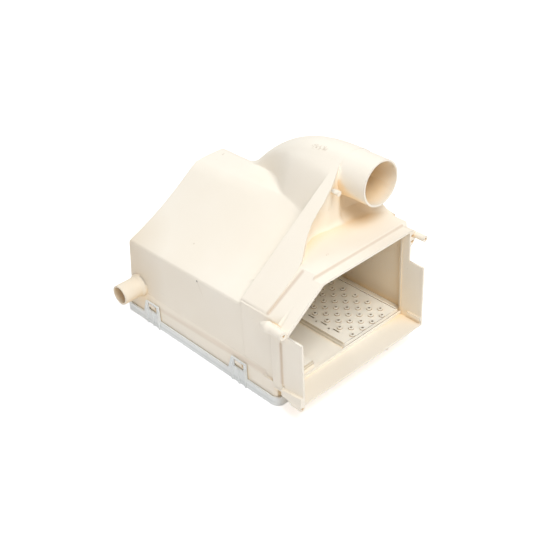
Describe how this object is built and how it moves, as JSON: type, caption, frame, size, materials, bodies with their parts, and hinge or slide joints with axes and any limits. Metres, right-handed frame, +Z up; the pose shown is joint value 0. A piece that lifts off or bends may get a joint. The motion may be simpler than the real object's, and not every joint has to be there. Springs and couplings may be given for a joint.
{
  "type": "washing machine dispenser housing",
  "caption": "Moulded housing of a washing machine's detergent drawer, with a spray plate, a clip-on water lid, an outlet duct and a vent spigot.",
  "frame": {"origin": "middle of the part's box, on the surface it stands on, which is the underside of the lid", "axes": "+X to the right along the drawer opening, +Y from the opening to the rear, +Z up as it stands for the picture"},
  "size_m": [0.2302, 0.3076, 0.2253],
  "materials": {
    "housing": "satin moulded polypropylene",
    "spray_plate": "satin moulded polypropylene",
    "lid": "satin moulded polypropylene"
  },
  "bodies": {
    "root": {"housing": "housing", "spray_plate": "spray_plate", "lid": "lid"}
  },
  "joints": []
}
